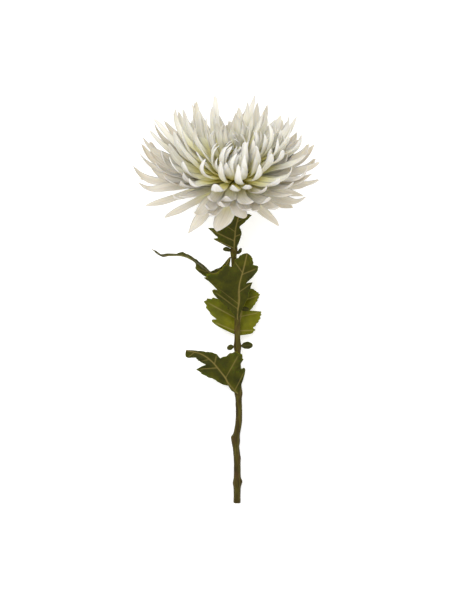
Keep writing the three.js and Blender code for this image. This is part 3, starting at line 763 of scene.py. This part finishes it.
leaf_dark = leaf_material(
    "leaf_blade_dark", [(0.3, "#252602"), (0.5, "#383802"), (0.7, "#4c4b04")],
    [(0.3, "#585706"), (0.7, "#6e6b0a")], "#7a6c38")
leaflet_dark = leaf_material(
    "leaflet_blade", [(0.3, "#222302"), (0.5, "#323202"), (0.7, "#424104")],
    [(0.3, "#585706"), (0.7, "#6e6b0a")], "#3f3d10")
leaf_light = leaf_material(
    "leaf_blade_pale", [(0.3, "#464702"), (0.5, "#5b5b04"), (0.7, "#6e6c06")],
    [(0.3, "#676606"), (0.7, "#807a10")], "#8a7c46")
print("leaf materials:", [m.name for m in (leaf_dark, leaflet_dark, leaf_light)])

# %% [markdown]
# ## One leaf
#
# A leaf is laid out from its veins.  Points run along the midrib, and from
# each one a row of points follows the direction of the side veins, which leave
# it at 38 to 80 degrees and lean further forward towards the tip.  The row is
# long where a side vein ends in a lobe and short in the notch between two
# lobes.  That gives the lobed, toothed outline straight from how the leaf
# grows, with no drawing of the outline.  The blade is quilted: it sinks at the
# veins and rises between them.

# %% Grow one leaf
PETIOLE_HALF_WIDTH = 0.9
LEAF_THICKNESS = 0.42    # between the veins


def row_knots(outline):
    """Places along the midrib and row lengths there, from stalk to tip."""
    return [np.array(column) for column in zip((0.0, PETIOLE_HALF_WIDTH), *outline, (1.0, 0.4))]


def row_length(outline, u):
    """Length of the row of points at u: rounded lobes, sharp notches, small teeth."""
    x, y = row_knots(outline)
    i = np.clip(np.searchsorted(x, u, side="right") - 1, 0, len(x) - 2)
    t = (u - x[i]) / (x[i + 1] - x[i])
    bowed = np.where(y[i + 1] > y[i], t**0.8, t**1.35)
    length = mix(y[i], y[i + 1], bowed)
    teeth = 0.5 - np.abs((u * 17.0 + 0.3) % 1 - 0.5)
    return length * (1 - 0.12 * teeth * ease(length, 3, 9))


def side_veins(outline):
    """Places where a side vein runs out to the tip of a lobe."""
    x, y = row_knots(outline)
    return [x[i] for i in range(1, len(x) - 1) if y[i] > y[i - 1] and y[i] >= y[i + 1] and y[i] > 4]


def leaf_surface(leaf, rows, half_columns):
    centre, direction = stem_at(leaf["joint"])
    seat = math.radians(leaf["seat"])
    side = unit(ACROSS - direction * direction[0])
    above = np.cross(side, direction)
    standoff = float(stem_radius(leaf["joint"])) + leaf.get("standoff", 0.35)
    foot = centre + standoff * (side * math.cos(seat) + above * math.sin(seat))
    rib = [foot + np.array(step) for step in leaf["midrib"]]
    u = np.linspace(0, 1, rows)
    middle = smooth_curve(rib, u)
    along = unit(np.gradient(middle, axis=0))
    flat = unit(np.cross(along, [0, 0, 1]))
    out = np.cross(flat, along)
    roll = np.radians(mix(leaf["roll"][0], leaf["roll"][1], ease(u, 0.05, 0.45)))[:, None]
    across = flat * np.cos(roll) - out * np.sin(roll)
    face = out * np.cos(roll) + flat * np.sin(roll)
    slant = np.radians(mix(*leaf["slant"], u))[:, None]
    s = np.linspace(-1, 1, 2 * half_columns + 1)
    left, right = row_length(leaf["left"], u), row_length(leaf["right"], u)
    reach = np.where(s[None] < 0, left[:, None], right[:, None]) * np.abs(s)[None]
    length = np.linalg.norm(np.diff(middle, axis=0), axis=1).sum()

    # Distance along the midrib to the nearest side vein, for its groove.
    away = np.full((rows, len(s)), 99.0)
    for columns, outline in ((s < 0, leaf["left"]), (s >= 0, leaf["right"])):
        for where_on_rib in side_veins(outline):
            gap = np.abs(u - where_on_rib)[:, None] * length
            away[:, columns] = np.minimum(away[:, columns], gap)
    from_rib = reach * np.sin(slant)
    vein = np.maximum(np.exp(-(from_rib / 0.48) ** 2),
                      0.75 * np.exp(-(away / 0.34) ** 2) * ease(1 - np.abs(s), 0.02, 0.3)[None])
    quilt = np.minimum(away, 3.0) / 3.0 * np.minimum(from_rib, 4.0) / 4.0
    seed = leaf["joint"] * 40
    lumps = (np.sin(middle[:, :1] * 0.31 + seed + s[None] * 3.0)
             * np.sin(u[:, None] * 17 + seed + s[None] * 2) * ease(reach, 1, 8))
    curl = leaf.get("curl", 0.0) * np.maximum(0, reach - 6) ** 1.4
    lift = leaf["cup"] * reach**2 + 0.75 * quilt + 0.55 * lumps - curl
    points = (middle[:, None]
              + across[:, None] * (np.sign(s)[None] * from_rib)[..., None]
              + along[:, None] * (reach * np.cos(slant))[..., None]
              + face[:, None] * lift[..., None])
    return points, vein, s, u, from_rib


def add_leaf(skin, leaf, rows=120, half_columns=17):
    points, vein, s, u, from_rib = leaf_surface(leaf, rows, half_columns)
    rib = 1.1 * np.exp(-(from_rib / 0.8) ** 2) * (1 - 0.7 * u[:, None])
    full = (LEAF_THICKNESS + rib) * np.sqrt(np.maximum(1 - s**2, 0))
    edge = ease(np.abs(s), 0.93, 1.0)
    notes = np.zeros(points.shape[:2] + (4,))
    notes[..., 0], notes[..., 2], notes[..., 3] = vein, 0.5 * edge, 1
    corner_notes = blade_notes(notes)
    corner_notes[:, :len(s), 1] = 1.0    # the lower side comes first
    skin.add(blade_rings(points, full), corner_notes)


small_outline = [(0.3, 12), (0.5, 5), (0.7, 9)]
print("side veins of a two-lobed outline:", [float(x) for x in side_veins(small_outline)])

# %% [markdown]
# ## The five leaves and the leaflets
#
# Leaves on a chrysanthemum alternate up the stem.  Two of these lie in front
# of it, one behind, one points left and is seen edge-on, and the lowest
# reaches out to the left.  Each is written down by its midrib, as places
# measured from its foot on the stem, and by its side veins.

# %% Leaves
# slant: how far side veins lean from the midrib, at its base and its tip.
# left, right: the outline, as (place along the midrib, length of the row).
LEAVES = {
    "upper_leaf": dict(
        joint=0.79, seat=90, slant=(68, 42), roll=(0, 4), cup=0.006, curl=0.02,
        midrib=[(0, 0, 0), (1, 14, 6.5), (2.3, 21, 9.5), (6, 34, 15.5)],
        left=[(0.03, 18.5), (0.09, 14.5), (0.15, 24), (0.25, 12), (0.29, 9.7), (0.33, 11.5),
              (0.54, 7.2), (0.77, 7.6)],
        right=[(0.04, 2.3), (0.23, 6), (0.45, 2.6), (0.62, 9), (0.69, 13), (0.82, 5.2), (0.91, 6)]),
    "middle_leaf": dict(
        joint=0.574, seat=90, slant=(66, 44), roll=(0, 0), cup=0.004, curl=0.02,
        midrib=[(0, 0, 0), (0.4, 7, 2.6), (1.6, 15, 6), (1.6, 27, 10), (5.1, 41, 14),
                (7.6, 52, 17)],
        left=[(0.08, 3), (0.16, 8), (0.2, 20), (0.24, 27.5), (0.29, 22), (0.34, 33), (0.46, 33),
              (0.51, 31), (0.56, 22), (0.64, 19), (0.68, 11), (0.74, 12), (0.82, 8.5)],
        right=[(0.15, 2.8), (0.34, 5.5), (0.46, 11), (0.52, 13.4), (0.58, 6.6), (0.66, 13.5),
               (0.72, 15), (0.78, 9), (0.86, 7)]),
    "back_leaf": dict(
        joint=0.521, seat=270, slant=(80, 48), roll=(0, 0), cup=-0.003,
        midrib=[(0, 0, 0), (2.4, 13.5, -1.5), (4.8, 25.4, -1), (8, 37.4, 1)],
        left=[(0.02, 13), (0.07, 24), (0.13, 20), (0.19, 28), (0.29, 33.5), (0.36, 29), (0.45, 19),
              (0.7, 15)],
        right=[(0.03, 11), (0.09, 14), (0.13, 12), (0.25, 16.5), (0.38, 17.5), (0.46, 7),
               (0.62, 12), (0.74, 13.5), (0.88, 8)]),
    "side_leaf": dict(
        joint=0.765, seat=188, slant=(42, 38), roll=(10, 76), cup=0.004,
        midrib=[(0, 0, 0), (-5, -9, -2), (-14, -13.5, -4), (-23, -8, -6), (-30, -2.5, -7),
                (-39, 1, -8.5), (-54, 1.5, -10), (-62, 6, -13)],
        left=[(0.2, 9), (0.27, 5), (0.34, 12), (0.45, 6), (0.55, 10), (0.68, 5), (0.8, 6)],
        right=[(0.16, 7), (0.28, 4), (0.4, 10), (0.5, 6), (0.6, 11), (0.72, 5), (0.82, 6)]),
    "lower_leaf": dict(
        joint=0.345, seat=96, slant=(70, 44), roll=(-22, -12), cup=0.002, curl=0.02,
        midrib=[(0, 0, 0), (-7, 7.5, 2), (-11, 14, 3), (-20, 25, 4), (-29, 31.5, 3.4),
                (-41, 34.5, 0)],
        left=[(0.08, 2.2), (0.18, 1.4), (0.27, 8), (0.38, 11), (0.46, 16), (0.52, 17.5),
              (0.58, 6.5), (0.66, 8.5), (0.78, 6), (0.89, 8.5)],
        right=[(0.03, 11), (0.07, 22), (0.14, 19.5), (0.24, 22), (0.36, 25), (0.43, 20), (0.47, 14),
               (0.52, 8.3), (0.57, 8.5), (0.72, 4), (0.83, 2.2)]),
}
for name, leaf in LEAVES.items():
    skin = Skin()
    add_leaf(skin, leaf)
    material = leaf_light if name == "back_leaf" else leaf_dark
    place(skin.to_object(f"{name}_fine", material), "leaf_green", name)
print("leaves:", list(LEAVES))

# %% Leaflets at the joints
LEAFLETS = {
    "leaflet_upper_left": (0.785, 150, [(0, 0, 0), (-3, 1, 1.2), (-6, 1, 2)], 2),
    "leaflet_upper_right": (0.775, 0, [(0, 0, 0), (2, 1.5, 0.5), (3.5, 4.2, 0.5)], 1.6),
    "leaflet_middle_left": (0.605, 180, [(0, 0, 0), (-2, 0.8, 0), (-4.5, 1, 0)], 1.6),
    "leaflet_middle_right": (0.605, 0, [(0, 0, 0), (3, 0, 0), (6.5, -0.6, 0)], 2.2),
    "leaflet_lower_left": (0.49, 180, [(0, 0, 0), (-2, -0.6, 0), (-5, -2, 0)], 2.4),
    "leaflet_lower_right": (0.49, 0, [(0, 0, 0), (4, 0.6, 0.4), (9, 0.6, 0.6)], 3.2),
}
for name, (joint, seat, midrib, wide) in LEAFLETS.items():
    sides = [(0.2, 0.8 * wide), (0.5, wide), (0.8, 0.7 * wide)]
    skin = Skin()
    leaflet = dict(joint=joint, seat=seat, slant=(75, 60), roll=(0, 0), cup=0.02,
                   midrib=midrib, left=sides, right=sides, standoff=-0.2)
    add_leaf(skin, leaflet, rows=30, half_columns=6)
    place(skin.to_object(f"{name}_fine", leaflet_dark), "leaf_green", name)
print("leaflets:", list(LEAFLETS))

# %% [markdown]
# ## The cup of bracts
#
# Behind the petals the bloom sits in a cup of small green bracts, the scales
# that once closed the bud.  A bract is a short petal that leaves the dome
# almost along its surface, so the petal rule makes it, with a lean.

# %% Bract cup
BRACTS = 13    # in each of the two rings


def build_bract_cup():
    skin = Skin()
    for ring, (polar, length) in enumerate(((140, 11.0), (148, 8.0))):
        for item in range(BRACTS):
            add_petal(skin, dict(
                start=DOME_RADIUS + 0.45 + 0.35 * ring, gutter=8, channel=24, spoon=0, polar=polar,
                azimuth=360 * (item + 0.5 * ring) / BRACTS, lean=-72, length=length, curl=-18,
                hook=0, sway=0, twist=6 * wander(ring, item, 21), width=4.6, base=3.4, point=0.8,
                wave=0, tone=wander(ring, item, 22), thickness=0.6), rows=14, columns=7)
    return skin.to_object("bract_cup_fine", leaf_light)


place(build_bract_cup(), "leaf_green", "bract_cup")
print("bracts:", 2 * BRACTS)

# %% [markdown]
# ## Table, light and camera
#
# The flower lies on a plain table of opal acrylic that glows a little, so it
# almost cancels the flower's shadow.  Two big soft lights over the flower, one
# strong and one weak, and a pale room keep shadows weak, as in a light tent.  The
# camera looks straight down from 1.8 m through a long lens, which keeps the
# shapes true: the top of the bloom is only 6% nearer than the table.

# %% Table
TABLE_REACH = 3.0    # m from the middle to each edge


def build_table():
    mesh = bpy.data.meshes.new("table")
    reach = TABLE_REACH
    corners = [(-reach, -reach, 0), (reach, -reach, 0), (reach, reach, 0), (-reach, reach, 0)]
    mesh.from_pydata(corners, [], [(0, 1, 2, 3)])
    material, _, surface = new_material("opal_acrylic")
    surface.inputs["Base Color"].default_value = linear("#f6f6f6")
    surface.inputs["Roughness"].default_value = 0.8
    surface.inputs["Specular IOR Level"].default_value = 0.1
    surface.inputs["Emission Color"].default_value = (1, 1, 1, 1)
    surface.inputs["Emission Strength"].default_value = 0.3
    mesh.materials.append(material)
    table = bpy.data.objects.new("table", mesh)
    bpy.context.scene.collection.objects.link(table)


build_table()
print("table width, m:", 2 * TABLE_REACH)

# %% Lights
def add_light(name, place_m, towards_m, size, power):
    lamp = bpy.data.lights.new(name, "AREA")
    lamp.size = size
    lamp.energy = power
    piece = bpy.data.objects.new(name, lamp)
    bpy.context.scene.collection.objects.link(piece)
    piece.location = place_m
    away = np.array(place_m) - np.array(towards_m)
    lean = math.atan2(math.hypot(away[0], away[1]), away[2])
    piece.rotation_euler = (lean, 0, math.atan2(away[1], away[0]) + math.pi / 2)


head = BLOOM * MM
add_light("key", (head[0] - 0.35, head[1] + 0.35, 1.3), head, 1.0, 11)
add_light("fill", (head[0] + 0.9, head[1] - 0.6, 1.1), head, 1.2, 4)
world = bpy.data.worlds.new("pale_room")
bpy.context.scene.world = world
world.use_nodes = True
sky = world.node_tree.nodes["Background"]
sky.inputs["Color"].default_value = (1, 1, 1, 1)
sky.inputs["Strength"].default_value = 0.82
print("lights:", [lamp.name for lamp in bpy.data.lights])

# %% Camera
CAMERA_HEIGHT = 1.8               # m
VIEW_SHIFT = (-0.0077, -0.0944)   # m, from the bloom to the middle of the view
FOCAL_LENGTH, SENSOR_WIDTH = 135, 36    # mm
lens = bpy.data.cameras.new("camera")
lens.lens = FOCAL_LENGTH
lens.sensor_width = SENSOR_WIDTH
camera = bpy.data.objects.new("camera", lens)
bpy.context.scene.collection.objects.link(camera)
camera.location = (head[0] + VIEW_SHIFT[0], head[1] + VIEW_SHIFT[1], CAMERA_HEIGHT)
camera.rotation_euler = (0, 0, 0)
bpy.context.scene.camera = camera
bpy.context.scene.view_settings.view_transform = "Standard"
print("camera at", [round(v, 3) for v in camera.location])

# %% Finish
bpy.context.view_layer.update()
